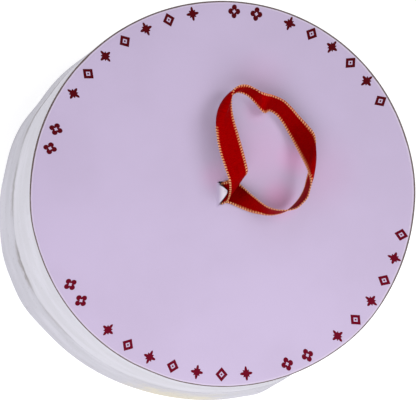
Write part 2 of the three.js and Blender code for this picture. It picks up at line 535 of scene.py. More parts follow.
@dataclass(frozen=True)
class WallFinish:
    """Pale paper on card: soft streaks, fibres, scuffs, dirt and painted shade along the seam, a cream
    tint low in front, and painted shade towards the back and the front.

    A cell is the size along the wall and up it of one patch of a noise, and a span is the two
    places between which a mask rises from 0 to 1.
    """

    name: str
    seam: float
    seam_reach: float
    paper: Shade = (205.0, 203.0, 215.0)
    shadow: Shade = (191.0, 189.0, 201.0)
    cream: Shade = (220.0, 211.0, 188.0)
    scuff: Shade = (146.0, 142.0, 152.0)
    # Dirt and painted shade along the seam.
    dirt_and_shade_smudge: Shade = (124.0, 114.0, 114.0)
    streak_cell: tuple[float, float] = (44.0 * MM, 26.0 * MM)
    patch_cell: tuple[float, float] = (7.0 * MM, 15.0 * MM)
    scuff_cell: tuple[float, float] = (2.6 * MM, 3.4 * MM)
    fibre_cell: float = 0.5 * MM
    streak_span: Span = (0.35, 0.7)
    scuff_span: Span = (0.66, 0.74)
    scuff_amount: float = 0.3
    dirt_and_shade_amount: float = 0.7
    cream_amount: float = 0.0
    cream_height: float = 84.0 * MM
    cream_middle: float = -6.0 * MM
    cream_fray: float = 36.0 * MM
    cream_side_span: Span = (38.0 * MM, 12.0 * MM)
    cream_front_span: Span = (0.0, -60.0 * MM)
    # Painted shade: the paper is darker towards the back and towards the front.
    painted_back_shade: float = 0.08
    painted_back_span: Span = (0.0, 60.0 * MM)
    painted_front_shade: float = 0.05
    painted_front_span: Span = (-40.0 * MM, -100.0 * MM)
    worn_span: Span = (-60.0 * MM, -90.0 * MM)
    relief_depth: float = 0.1 * MM
    streak_relief: float = 0.75
    fibre_light: Span = (0.97, 1.03)
    roughness: Span = (0.52, 0.64)
    rubs: tuple[Rub, ...] = (Rub(60.0, 30.0, 0.8), Rub(8.0, 24.0, 0.7), Rub(-40.0, 22.0, 1.0),
                             Rub(-76.0, 16.0, 0.4))

    def cream_mask(self, graph: Graph, x: Value, y: Value, z: Value, ragged: Value) -> Value:
        """Works out where the wall turns cream, full at the foot in front, with a frayed edge.

        Args:
            graph: The material's graph.
            x: The place along X.
            y: The place along Y.
            z: The height.
            ragged: A noise about 0 that frays the edge.

        Returns:
            The cream's mask.
        """
        beside = graph.away(x, self.cream_middle) + ragged * self.cream_fray
        patch = graph.step(beside, *self.cream_side_span) * graph.step(y, *self.cream_front_span)
        height = z + ragged * self.cream_height
        return graph.step(height, self.cream_height, 0.15 * self.cream_height) * patch * self.cream_amount

    def seam_dirt_and_shade(self, graph: Graph, x: Value, y: Value, z: Value, ragged: Value) -> Value:
        """Works out where dirt and painted shade lie along the seam: on the worn side, and most at the
        rubs.

        Args:
            graph: The material's graph.
            x: The place along X.
            y: The place along Y.
            z: The height.
            ragged: A noise about 0 that frays the edge.

        Returns:
            The mask of the dirt and painted shade.
        """
        worn: Number = 0.0
        for rub in self.rubs:
            near = graph.step(graph.away(y, rub.middle * MM), rub.reach * MM, 0.3 * rub.reach * MM)
            worn = graph.math("MAXIMUM", worn, near * rub.amount)
        away = graph.away(z, self.seam) + ragged * (2.0 * self.seam_reach)
        line = graph.step(away, self.seam_reach, 0.1 * self.seam_reach)
        return line * (worn * graph.step(x, *self.worn_span)) * self.dirt_and_shade_amount

    def material(self) -> bpy.types.Material:
        """Builds the material.

        Returns:
            The material.
        """
        graph = Graph(self.name)
        place = graph.place()
        x, y, z = graph.parts(place)
        streaks = graph.noise(graph.cells(place, *self.streak_cell), 1.0, 3.0)
        ragged = 0.5 - graph.noise(graph.cells(place, *self.patch_cell), 1.0, 2.5, 0.6)
        scuffs = graph.noise(graph.cells(place, *self.scuff_cell), 1.0, 1.0)
        fibres = graph.noise(place, 1.0 / self.fibre_cell, 2.0)
        colour = graph.blend(graph.step(streaks, *self.streak_span), self.shadow, self.paper)
        if self.cream_amount:
            # A cream tint low in front.
            colour = graph.blend(self.cream_mask(graph, x, y, z, ragged), colour, self.cream)
        scuffed = graph.step(scuffs, *self.scuff_span) * self.scuff_amount
        colour = graph.blend(scuffed, colour, self.scuff)
        # Painted shade, darker towards the back and the front.
        behind = 1.0 - self.painted_back_shade * graph.step(y, *self.painted_back_span)
        before = 1.0 - self.painted_front_shade * graph.step(y, *self.painted_front_span)
        colour = graph.shade(colour, graph.between(self.fibre_light, fibres) * behind * before)
        # Dirt and painted shade along the seam, most at the rubs.
        colour = graph.blend(self.seam_dirt_and_shade(graph, x, y, z, ragged), colour, self.dirt_and_shade_smudge)
        height = self.streak_relief * streaks + (1.0 - self.streak_relief) * fibres
        relief, rough = graph.bump(height, self.relief_depth), graph.between(self.roughness, streaks)
        return graph.finish(Base_Color=colour, Roughness=rough, Normal=relief)


@dataclass(frozen=True)
class PaintedShadowSpot:
    """A soft round spot of painted shadow on the print, pink with painted red light from the ribbon:
    middle and reach in millimetres, strength.
    """

    middle: tuple[float, float]
    reach: float
    amount: float


@dataclass(frozen=True)
class TopPrintFinish:
    """A lilac print on card, with a pale line inside the rim as a painted highlight, the brown cut edge
    of the card, and pink painted shadows round the ribbon.
    """

    radius: float
    level: float
    name: str = "lilac_print_on_card"
    lilac: Shade = (192.0, 176.0, 208.0)
    deep: Shade = (187.0, 171.0, 202.0)
    core: Shade = (70.0, 48.0, 26.0)
    # Painted highlight: a pale line just inside the rim.
    line: Shade = (214.0, 203.0, 222.0)
    # Painted shadow, pink with painted red light from the ribbon, for the spots round the loop.
    painted_shadow_pink: Shade = (232.0, 154.0, 208.0)
    painted_shadow_spots: tuple[PaintedShadowSpot, ...] = (
        PaintedShadowSpot((26.0, 25.0), 36.0, 0.2),
        PaintedShadowSpot((35.0, -4.0), 17.0, 0.56),
        PaintedShadowSpot((45.0, 22.0), 15.0, 0.44),
        PaintedShadowSpot((20.5, 51.0), 11.0, 0.24),
        PaintedShadowSpot((-5.0, 10.0), 14.0, 0.24),
        PaintedShadowSpot((60.0, 14.0), 34.0, 0.13),
        PaintedShadowSpot((24.0, 72.0), 24.0, 0.12),
    )
    cloud_cell: float = 62.5 * MM
    grain_cell: float = 0.45 * MM
    grain_depth: float = 0.012 * MM
    torn_cell: float = 1.5 * MM
    cloud_span: Span = (0.3, 0.7)
    bare_width: float = 0.75 * MM
    bare_extra: float = 0.4 * MM
    painted_highlight_width: float = 0.9 * MM
    painted_highlight_strength: float = 0.45
    painted_highlight_soft: float = 0.3 * MM
    bare_soft: float = 0.25 * MM
    wander: float = 0.5 * MM
    wander_cell: float = 9.0 * MM
    print_depth: float = 0.5 * MM
    grain_light: Span = (0.965, 1.035)
    torn_strength: Span = (0.8, 1.0)
    roughness: Span = (0.42, 0.52)

    def with_painted_shadows(self, graph: Graph, colour: Value, x: Value, y: Value) -> Value:
        """Adds the painted shadows round the ribbon, pink with painted red light, each fading out from
        its middle.

        Args:
            graph: The material's graph.
            colour: The print's colour.
            x: The place along X.
            y: The place along Y.

        Returns:
            The tinted colour.
        """
        for spot in self.painted_shadow_spots:
            across, up = x - spot.middle[0] * MM, y - spot.middle[1] * MM
            away = graph.math("SQRT", across * across + up * up)
            mask = graph.step(away, spot.reach * MM, 0.0) * spot.amount
            colour = graph.blend(mask, colour, self.painted_shadow_pink)
        return colour

    def material(self) -> bpy.types.Material:
        """Builds the material, on a UV map whose u is the radius as if the rim were round.

        Returns:
            The material.
        """
        graph = Graph(self.name)
        place = graph.place()
        x, y, z = graph.parts(place)
        out, _ = graph.uv()
        clouds = graph.noise(place, 1.0 / self.cloud_cell, 3.0)
        grain = graph.noise(place, 1.0 / self.grain_cell, 2.0)
        colour = graph.blend(graph.step(clouds, *self.cloud_span), self.deep, self.lilac)
        light = graph.between(self.grain_light, grain)
        # Painted pink shadows round the ribbon.
        colour = graph.shade(self.with_painted_shadows(graph, colour, x, y), light)
        wander = (graph.noise(place, 1.0 / self.wander_cell, 2.0) - 0.5) * self.wander
        wider = graph.step(0.3 * x + y, -0.6 * self.radius, 0.0)
        inside = self.radius - (out + wander) - self.bare_extra * wider
        # Painted highlight: a pale line just inside the rim.
        painted_highlight_from = self.bare_width + self.painted_highlight_width
        line = graph.step(inside, painted_highlight_from, painted_highlight_from - self.painted_highlight_soft)
        colour = graph.blend(line * self.painted_highlight_strength, colour, self.line)
        bare = graph.step(inside, self.bare_width, self.bare_width - self.bare_soft)
        cut = graph.step(z, self.level - self.print_depth, self.level - 1.5 * self.print_depth)
        torn = graph.between(self.torn_strength, graph.noise(place, 1.0 / self.torn_cell, 1.0))
        colour = graph.blend(graph.math("MAXIMUM", bare, cut) * torn, colour, self.core)
        relief, rough = graph.bump(grain, self.grain_depth), graph.between(self.roughness, clouds)
        return graph.finish(Base_Color=colour, Roughness=rough, Normal=relief)


@dataclass(frozen=True)
class InkFinish:
    """Dark red ink, more crimson towards the front, with the card's grain showing through."""

    name: str = "dark_red_ink"
    back: Shade = (78.0, 0.0, 8.0)
    front: Shade = (102.0, 0.0, 28.0)
    worn: Shade = (100.0, 6.0, 30.0)
    span: Span = (80.0 * MM, -80.0 * MM)
    worn_span: Span = (0.62, 0.8)
    grain_cell: float = 0.6 * MM
    grain_depth: float = 0.01 * MM
    roughness: Span = (0.45, 0.55)
    gloss: float = 0.05

    def material(self) -> bpy.types.Material:
        """Builds the material.

        Returns:
            The material.
        """
        graph = Graph(self.name)
        place = graph.place()
        _, y, _ = graph.parts(place)
        grain = graph.noise(place, 1.0 / self.grain_cell, 2.0)
        ink = graph.blend(graph.step(y, *self.span), self.back, self.front)
        colour = graph.blend(graph.step(grain, *self.worn_span), ink, self.worn)
        graph.shader.inputs["Specular IOR Level"].default_value = self.gloss
        relief, rough = graph.bump(grain, self.grain_depth), graph.between(self.roughness, grain)
        return graph.finish(Base_Color=colour, Roughness=rough, Normal=relief)


@dataclass(frozen=True)
class BoardFinish:
    """Bare board or thin card, mottled and fibrous."""

    name: str
    pale: Shade = (206.0, 200.0, 212.0)
    dark: Shade = (168.0, 160.0, 172.0)
    mottle_cell: float = 3.0 * MM
    mottle_span: Span = (0.3, 0.75)
    fibre_cell: float = 0.4 * MM
    fibre_depth: float = 0.02 * MM
    fibre_light: Span = (0.95, 1.05)
    roughness: Span = (0.6, 0.75)

    def material(self) -> bpy.types.Material:
        """Builds the material.

        Returns:
            The material.
        """
        graph = Graph(self.name)
        place = graph.place()
        mottle = graph.noise(place, 1.0 / self.mottle_cell, 3.0)
        fibres = graph.noise(place, 1.0 / self.fibre_cell, 2.0)
        colour = graph.blend(graph.step(mottle, *self.mottle_span), self.pale, self.dark)
        colour = graph.shade(colour, graph.between(self.fibre_light, fibres))
        relief, rough = graph.bump(fibres, self.fibre_depth), graph.between(self.roughness, fibres)
        return graph.finish(Base_Color=colour, Roughness=rough, Normal=relief)


@dataclass(frozen=True)
class FlapFinish:
    """Lilac card, paled towards the flap's lifted tip as painted light, with a dark cut edge and a band
    of painted shadow along it, on a UV map of shares.
    """

    name: str = "flap_card"
    lilac: Shade = (190.0, 174.0, 205.0)
    # Painted light: the card pales towards the lifted tip.
    pale: Shade = (238.0, 231.0, 246.0)
    # Painted shadow: near black along the cut edges, as in the gap under the flap.
    core: Shade = (38.0, 14.0, 20.0)
    edge_shadow_width: float = 0.12
    painted_light_span: Span = (0.15, 0.6)
    edge_shadow_span: Span = (0.1, 0.4)
    fibre_cell: float = 0.4 * MM
    fibre_depth: float = 0.02 * MM
    fibre_light: Span = (0.97, 1.03)
    roughness: Span = (0.55, 0.65)

    def material(self) -> bpy.types.Material:
        """Builds the material.

        Returns:
            The material.
        """
        graph = Graph(self.name)
        out, side = graph.uv()
        fibres = graph.noise(graph.place(), 1.0 / self.fibre_cell, 2.0)
        # Painted light, paler towards the tip.
        colour = graph.blend(graph.step(out, *self.painted_light_span), self.lilac, self.pale)
        colour = graph.shade(colour, graph.between(self.fibre_light, fibres))
        # Painted shadow along the cut edges and the tip.
        from_edge = graph.math("MINIMUM", graph.math("MINIMUM", side, 1.0 - side), 1.0 - out)
        beside = graph.step(from_edge, self.edge_shadow_width, 0.5 * self.edge_shadow_width)
        cut = beside * graph.step(out, *self.edge_shadow_span)
        colour = graph.blend(cut, colour, self.core)
        relief, rough = graph.bump(fibres, self.fibre_depth), graph.between(self.roughness, fibres)
        return graph.finish(Base_Color=colour, Roughness=rough, Normal=relief)


@dataclass(frozen=True)
class PaintedLightStretch:
    """A stretch of painted light and shade along the ribbon, by its middle and reach in millimetres, and
    how much brighter it is.
    """

    middle: float
    reach: float
    brighter: float


@dataclass(frozen=True)
class RibbonFinish:
    """Close plain weave of red thread with gold stitches beside both edges.

    Stretches along it are painted light and shade. The UV map is in metres across and along the ribbon.
    """

    width: float
    name: str = "red_taffeta"
    thread: Shade = (154.0, 0.0, 1.0)
    deep: Shade = (132.0, 0.0, 1.0)
    gold: Shade = (230.0, 136.0, 90.0)
    pitch: float = 0.42 * MM
    thread_depth: float = 0.05 * MM
    slub_cell: tuple[float, float] = (2.5 * MM, 0.5 * MM)
    slub_span: Span = (0.25, 0.75)
    stitch_pitch: float = 1.7 * MM
    stitch_reach: float = 1.2 * MM
    stitch_swing: float = 0.5 * MM
    stitch_soft: float = 0.15 * MM
    stitch_slant: float = 0.35
    jitter: float = 0.9 * MM
    jitter_cell: float = 4.0 * MM
    sparse_run: float = 78.0 * MM
    sparse_reach: float = 0.55 * MM
    stitch_cover: float = 0.42
    stitch_contrast: float = 0.38
    slub_relief: float = 0.4
    weave_light: Span = (0.86, 1.06)
    roughness: Span = (0.5, 0.62)
    gloss: float = 0.03
    gloss_tint: Shade = (255.0, 40.0, 30.0)
    # Painted light and shade along the ribbon: lit strands and facets, a strand turned from the light,
    # and the shadow of the crossing strand near the root.
    painted_light_stretches: tuple[PaintedLightStretch, ...] = (
        PaintedLightStretch(45.0, 40.0, 0.12),
        PaintedLightStretch(105.0, 7.0, 0.32),
        PaintedLightStretch(150.0, 28.0, -0.24),
        PaintedLightStretch(168.0, 9.0, 0.3),
        PaintedLightStretch(239.0, 15.0, -0.42),
    )

    def stitches(self, graph: Graph, across: Value, along: Value) -> Value:
        """Works out where the gold stitches are.

        They reach in from each edge by an even length and a swing, cos(2 pi s / pitch) at run s.
        They are slanted, a little uneven, and shorter beside the first edge up to the sparse run.

        Args:
            graph: The material's graph.
            across: The distance from one edge.
            along: The run along the ribbon.

        Returns:
            The stitches' mask, which is fainter between two of them.
        """
        from_edge = graph.math("MINIMUM", across, self.width - across)
        uneven = graph.noise(graph.vector(0.0, along / self.jitter_cell, 0.0), 1.0, 1.0) - 0.5
        phase = along + uneven * self.jitter + self.stitch_slant * from_edge
        swing = graph.math("COSINE", phase * (2.0 * math.pi / self.stitch_pitch))
        early = graph.step(along, self.sparse_run, 0.9 * self.sparse_run)
        sparse = early * graph.step(across, 0.6 * self.width, 0.4 * self.width)
        inside = from_edge - self.stitch_swing * swing + self.sparse_reach * sparse
        outer, inner = self.stitch_reach + self.stitch_soft, self.stitch_reach - self.stitch_soft
        reached = graph.step(inside, outer, inner)
        return reached * (self.stitch_cover + self.stitch_contrast * swing)

    def material(self) -> bpy.types.Material:
        """Builds the material.

        Returns:
            The material.
        """
        graph = Graph(self.name)
        across, along = graph.uv()
        turn = 2.0 * math.pi / self.pitch
        weave = 0.5 + 0.5 * (graph.math("SINE", across * turn) * graph.math("SINE", along * turn))
        wide, long = self.slub_cell
        slubs = graph.noise(graph.vector(across / wide, along / long, 0.0), 1.0, 2.0)
        colour = graph.blend(graph.step(slubs, *self.slub_span), self.deep, self.thread)
        colour = graph.blend(self.stitches(graph, across, along), colour, self.gold)
        light = graph.between(self.weave_light, weave)
        # Painted light and shade along the ribbon.
        for stretch in self.painted_light_stretches:
            beside = graph.away(along, stretch.middle * MM)
            mask = graph.step(beside, stretch.reach * MM, 0.3 * stretch.reach * MM)
            light = light * (1.0 + stretch.brighter * mask)
        colour = graph.shade(colour, light)
        relief = graph.bump(weave + self.slub_relief * slubs, self.thread_depth)
        rough = graph.between(self.roughness, weave)
        graph.shader.inputs["Specular IOR Level"].default_value = self.gloss
        graph.shader.inputs["Specular Tint"].default_value = linear(self.gloss_tint)
        return graph.finish(Base_Color=colour, Roughness=rough, Normal=relief)


@dataclass(frozen=True)
class SelvedgeFinish:
    """Gold thread wound over a wire, on a UV map of turns round and metres along."""

    name: str = "gold_selvedge_thread"
    gold: Shade = (248.0, 178.0, 122.0)
    deep: Shade = (128.0, 20.0, 12.0)
    pitch: float = 1.7 * MM
    strands: float = 4.0
    strand_depth: float = 0.05 * MM
    bead_span: Span = (0.3, 0.75)
    strand_light: Span = (0.86, 1.06)
    roughness: float = 0.42
    metallic: float = 0.25

    def material(self) -> bpy.types.Material:
        """Builds the material.

        Returns:
            The material.
        """
        graph = Graph(self.name)
        round_it, along = graph.uv()
        turns = along * (2.0 * math.pi / self.pitch)
        bead = 0.5 + 0.5 * graph.math("COSINE", turns)
        twist = turns + round_it * (2.0 * math.pi)
        strand = 0.5 + 0.5 * graph.math("COSINE", twist * self.strands)
        colour = graph.blend(graph.step(bead, *self.bead_span), self.deep, self.gold)
        colour = graph.shade(colour, graph.between(self.strand_light, strand))
        graph.shader.inputs["Metallic"].default_value = self.metallic
        relief = graph.bump(strand, self.strand_depth)
        return graph.finish(Base_Color=colour, Roughness=self.roughness, Normal=relief)


# ---- The drum and the lid ----

@dataclass
class Drum:
    """The tray of the box: one closed wall with a rounded foot and a shoulder under the lid."""

    shape: BoxShape
    steps: int = 360
    wall_rows: int = 36
    neck_rows: int = 8
    edge_rounding: float = 0.2 * MM

    def profile(self) -> np.ndarray:
        """Works out the turned outline.

        Returns:
            Rows of radius and height, from the underside's middle to the top's.
        """
        shape, soft = self.shape, self.edge_rounding
        high = shape.shoulder
        wide = shape.lid_radius + shape.shoulder_reach
        foot = wide + shape.base_flare - shape.base_rounding
        neck = shape.lid_radius - shape.lid_wall - shape.neck_gap
        top = shape.lid_top - shape.lid_wall - shape.neck_gap
        rise = np.linspace(shape.base_rounding, high - soft, self.wall_rows)
        wall = np.stack([wide + shape.base_flare * (1.0 - rise / high), rise], axis=-1)
        return np.concatenate([
            [[0.0, 0.0], [0.5 * foot, 0.0]],
            arc((foot, shape.base_rounding), shape.base_rounding, -90.0, -10.0, 6),
            wall,
            arc((wide - soft, high - soft), soft, 10.0, 90.0, 5),
            [[neck, high]],
            straight((neck, high), (neck, top), self.neck_rows),
            [[neck, top], [0.5 * neck, top], [0.0, top]],
        ])

    def build(self) -> None:
        """Makes the drum's wall."""
        finish = WallFinish(
            "drum_wall_paper",
            seam=self.shape.seam,
            seam_reach=13.0 * MM,
            cream_amount=0.85,
            painted_front_shade=0.01,
            scuff_amount=0.4,
        )
        surface = turned(self.profile(), even_angles(self.steps), self.shape.wave)
        make_piece("drum_wall", surface, finish.material(), "drum")


@dataclass
class LidWall:
    """The lid's deep wall: a board ring wrapped in paper, whose end laps over at the back."""

    shape: BoxShape
    steps: int = 360
    wall_rows: int = 44
    edge_rounding: float = 0.25 * MM
    lap_angle: float = 64.0
    lap_width: float = 5.5
    lap_step: float = 0.16 * MM
    lap_edge: float = 0.12

    def reach(self, angle: np.ndarray, height: np.ndarray) -> np.ndarray:
        """Adds the lap to the wall's wave: a step out between two angles, each with a steep edge.

        Args:
            angle: The angles in radians.
            height: The heights.

        Returns:
            How far the wall stands out.
        """
        degrees = np.degrees(angle) - self.lap_angle
        start = np.clip(0.5 + degrees / self.lap_edge, 0.0, 1.0)
        end = np.clip(0.5 - (degrees - self.lap_width) / (4.0 * self.lap_edge), 0.0, 1.0)
        return self.shape.wave(angle, height) + self.lap_step * start * end

    def profile(self) -> np.ndarray:
        """Works out the closed ring's outline.

        Returns:
            Rows of radius and height: out round the foot, up, in and down.
        """
        shape, soft = self.shape, self.edge_rounding
        wide, inner = shape.lid_radius, shape.lid_radius - shape.lid_wall
        low, high = shape.seam, shape.lid_top
        return np.concatenate([
            arc((wide - soft, low + soft), soft, -90.0, 0.0, 6),
            straight((wide, low + soft), (wide, high - soft), self.wall_rows),
            arc((wide - soft, high - soft), soft, 0.0, 90.0, 4),
            [[inner, high]],
            straight((inner, high), (inner, low), 6),
            [[inner, low]],
        ])

    def build(self) -> None:
        """Makes the lid's wall."""
        finish = WallFinish(
            "lid_wall_paper",
            seam=self.shape.seam,
            seam_reach=8.0 * MM,
            paper=(216.0, 214.0, 226.0),
            shadow=(205.0, 203.0, 214.0),
            scuff_amount=0.2,
        )
        angles = even_angles(self.steps, self.lap_angle + 0.5 * self.lap_width, self.lap_width + 2.0, 60)
        surface = turned(self.profile(), angles, self.reach)
        make_piece("lid_wall", surface, finish.material(), "lid_skirt")


@dataclass
class PrintedTop:
    """The printed card on the lid, a plate with a slot, whose face is never quite flat."""

    shape: BoxShape
    columns: int = 480
    face_rows: int = 48
    face_spread: float = 1.4
    under_rows: int = 6
    corner_rows: int = 5
    rounding: float = 0.35 * MM
    slot_centre: tuple[float, float] = (-1.35 * MM, -0.15 * MM)
    slot_half: tuple[float, float] = (1.6 * MM, 7.2 * MM)
    slot_corner: float = 14.0
    swell: float = 0.10 * MM
    swell_lengths: tuple[float, float, float] = (31.0 * MM, 27.0 * MM, 15.0 * MM)
    swell_fade: float = 0.12
    lip: float = 0.12 * MM
    lip_reach: float = 2.2 * MM
    overhang: float = 0.7 * MM
    rim_waves: tuple[Dent, ...] = (
        Dent(4.0, 10.0, 0.5),
        Dent(92.0, 44.0, -0.7),
        Dent(120.0, 34.0, -0.35),
        Dent(188.0, 8.0, 0.5),
        Dent(248.0, 5.0, -0.4),
        Dent(316.0, 11.0, 0.6),
    )

    def relief(self, x: np.ndarray, y: np.ndarray) -> np.ndarray:
        """Lifts the face by two slow waves that fade at the rim, and by a lip at the slot.

        Args:
            x: Places along X.
            y: Places along Y.

        Returns:
            The height over flat at each place.
        """
        out = np.hypot(x, y) / self.shape.card_radius
        fade = np.clip((1.0 - out) / self.swell_fade, 0.0, 1.0)
        long_x, long_y, short = self.swell_lengths
        slow = np.sin(x / long_x + 0.6) * np.cos(y / long_y - 0.4) + 0.5 * np.sin((x + 0.7 * y) / short)
        along_x = np.maximum(0.0, np.abs(x - self.slot_centre[0]) - self.slot_half[0])
        along_y = np.maximum(0.0, np.abs(y - self.slot_centre[1]) - self.slot_half[1])
        near = np.exp(-(np.hypot(along_x, along_y) / self.lip_reach) ** 2)
        return fade * self.swell * slow + self.lip * near

    def outlines(self) -> tuple[np.ndarray, np.ndarray]:
        """Works out the plate's two edges in plan.

        The slot's edge at angle a is at distance (|cos a / p|^n + |sin a / q|^n)^(-1/n) from its
        middle, with half widths p and q. The rim is a circle plus its waves.

        Returns:
            The x and y of each column on the slot's edge, and those on the rim.
        """
        angle = np.linspace(0.0, 2.0 * math.pi, self.columns, endpoint=False)
        ray = np.stack([np.cos(angle), np.sin(angle)], axis=-1)
        terms = np.sum(np.abs(ray / self.slot_half) ** self.slot_corner, axis=-1)
        away = terms ** (-1.0 / self.slot_corner)
        wide = self.shape.card_radius + self.overhang + bell_sum(self.rim_waves, angle)
        return self.slot_centre + away[:, None] * ray, wide[:, None] * ray

    def rows(self) -> np.ndarray:
        """Works out the plate's rows: out under it, up round the rim, and in over the face.

        Returns:
            The share of the way from the slot to the rim, the height, and 1 on the face or 0
            below it, each for all rows.
        """
        shape, soft = self.shape, self.rounding
        soft_share = 1.0 - soft / shape.card_radius
        corner = np.radians(np.linspace(0.0, 90.0, self.corner_rows))
        rounded = soft_share + (1.0 - soft_share) * np.sin(corner)
        fall = soft * (1.0 - np.cos(corner))
        under = np.linspace(0.0, soft_share, self.under_rows)
        face = soft_share * np.linspace(0.0, 1.0, self.face_rows) ** self.face_spread
        share = np.concatenate([under, rounded[1:-1], rounded[::-1], face[-2::-1]])
        low = shape.card_low + np.concatenate([np.zeros(self.under_rows), fall[1:-1]])
        high = shape.top - np.concatenate([fall[::-1], np.zeros(self.face_rows - 1)])
        on_face = np.concatenate([np.zeros(len(low)), np.ones(len(high))])
        return np.stack([share, np.concatenate([low, high]), on_face])

    def surface(self) -> Surface:
        """Makes the plate.

        A row at share v is v of the way from the slot's edge to the rim. On the UV map u is v
        times the card's radius.

        Returns:
            The closed plate, with a hole through it.
        """
        slot, rim = self.outlines()
        share, height, on_face = self.rows()[..., None]
        flat = (1.0 - share)[..., None] * slot + share[..., None] * rim
        raised = height + on_face * self.relief(flat[..., 0], flat[..., 1])
        points = np.concatenate([flat, raised[..., None]], axis=-1).reshape(-1, 3)
        outward = np.broadcast_to(share * self.shape.card_radius, flat.shape[:2])
        uv = np.stack([outward, np.zeros_like(outward)], axis=-1).reshape(-1, 2)
        return Surface(points, [quads(len(share), self.columns, wrap_rows=True)], uv)

    def build(self) -> None:
        """Makes the printed card, and gives the board under it its own finish."""
        finish = TopPrintFinish(self.shape.card_radius, self.shape.top)
        make_piece("printed_top", self.surface(), finish.material(), "top_card")
        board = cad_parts["lid_board"]
        board.data.materials.clear()
        board.data.materials.append(BoardFinish("lid_board_card").material())


# ---- The printed border ----

class Motif(Enum):
    """The generic figures of the border."""

    STAR = "star of long and short rays"
    LOZENGE = "hollow lozenge with a dot"
    FLOWER = "flower of four petals"


@dataclass(frozen=True)
class MarkGroup:
    """A run of figures along the border: the first angle and the step in degrees, and their number."""

    first: float
    count: int
    step: float

    @property
    def motifs(self) -> tuple[Motif, Motif]:
        """The two figures that alternate: a pair has flowers only."""
        return (Motif.FLOWER, Motif.FLOWER) if self.count == 2 else (Motif.STAR, Motif.LOZENGE)


@dataclass
class PrintedBorder:
    """Two arcs of small dark red figures inside the rim, printed a little off the card's middle."""

    top: PrintedTop
    middle: tuple[float, float] = (1.8 * MM, 0.2 * MM)
    ring: float = 113.2 * MM
    half_height: float = 4.5 * MM
    half_width: float = 3.9 * MM
    ink_height: float = 0.035 * MM
    ink_root: float = 0.05 * MM
    points_round: int = 96
    lozenge_hole: float = 0.42
    lozenge_dot: float = 0.18
    flower_hole: float = 0.28
    groups: tuple[MarkGroup, ...] = (
        MarkGroup(166.4, 2, -6.3),
        MarkGroup(147.5, 7, -7.8),
        MarkGroup(87.4, 2, -7.1),
        MarkGroup(69.3, 6, -7.7),
        MarkGroup(210.7, 2, 6.1),
        MarkGroup(229.3, 7, 7.85),
        MarkGroup(289.8, 2, 7.0),
        MarkGroup(308.2, 6, 7.75),
    )

    def outline(self, motif: Motif, turn: np.ndarray) -> np.ndarray:
        """Works out a figure's outline.

        A star has a small core, long rays by |cos 2t|^n and short ones by |sin 2t|^n. A lozenge is
        1 / (|cos t| + |sin t|), and a flower swells by |cos 2t|.

        Args:
            motif: The figure.
            turn: The angles t, in radians.

        Returns:
            The reach at each angle, as a share of the half height.
        """
        if motif is Motif.STAR:
            long_rays = 0.6 * np.abs(np.cos(2.0 * turn)) ** 4
            return 0.4 + long_rays + 0.3 * np.abs(np.sin(2.0 * turn)) ** 9
        if motif is Motif.LOZENGE:
            return 1.0 / (np.abs(np.cos(turn)) + np.abs(np.sin(turn)))
        return 0.46 + 0.5 * np.abs(np.cos(2.0 * turn)) ** 0.7

    def inlay(self, plan: np.ndarray, inner: Optional[np.ndarray], angle: float) -> Surface:
        """Makes one closed film of ink on the card.

        Args:
            plan: The outer outline, across and outwards, in metres.
            inner: The inner outline of a hollow figure, or None.
            angle: Where the figure stands on the border, in radians.

        Returns:
            The film: a ring of ink, or a fan from the middle.
        """
        count = len(plan)
        flat = np.concatenate([plan, np.zeros((1, 2)) if inner is None else inner])
        outward = np.array([math.cos(angle), math.sin(angle)])
        across = np.array([math.sin(angle), -math.cos(angle)])
        place = self.middle + flat[:, :1] * across + (self.ring + flat[:, 1:]) * outward
        level = self.top.shape.top + self.top.relief(place[:, 0], place[:, 1])
        above = np.column_stack([place, level + self.ink_height])
        below = np.column_stack([place, level - self.ink_root])
        step, beside = np.arange(count), (np.arange(count) + 1) % count
        size = len(flat)
        walls = [np.stack([step, step + size, beside + size, beside], axis=-1)]
        if inner is None:
            lids = [fan(step, count)]
        else:
            walls.append(np.stack([step, beside, beside + size, step + size], axis=-1) + count)
            lids = [np.stack([step, beside, beside + count, step + count], axis=-1)]
        floors = [lid[:, ::-1] + size for lid in lids]
        return Surface(np.concatenate([above, below]), walls + lids + floors)

    def figure(self, motif: Motif, angle: float) -> list[Surface]:
        """Makes one figure.

        Args:
            motif: Which figure it is.
            angle: Where it stands on the border, in degrees.

        Returns:
            Its films of ink.
        """
        turn = np.linspace(0.0, 2.0 * math.pi, self.points_round, endpoint=False)
        round_it = np.stack([self.half_width * np.cos(turn), self.half_height * np.sin(turn)], axis=-1)
        plan = round_it * self.outline(motif, turn)[:, None]
        where = math.radians(angle)
        if motif is Motif.STAR:
            return [self.inlay(plan, None, where)]
        if motif is Motif.LOZENGE:
            dot = self.inlay(self.lozenge_dot * plan, None, where)
            return [self.inlay(plan, self.lozenge_hole * plan, where), dot]
        return [self.inlay(plan, self.flower_hole * plan, where)]

    def build(self) -> None:
        """Makes the whole border as one piece."""
        films: list[Surface] = []
        for group in self.groups:
            for number in range(group.count):
                films += self.figure(group.motifs[number % 2], group.first + number * group.step)
        make_piece("printed_border", joined(films), InkFinish().material())


# ---- The slot's flap ----

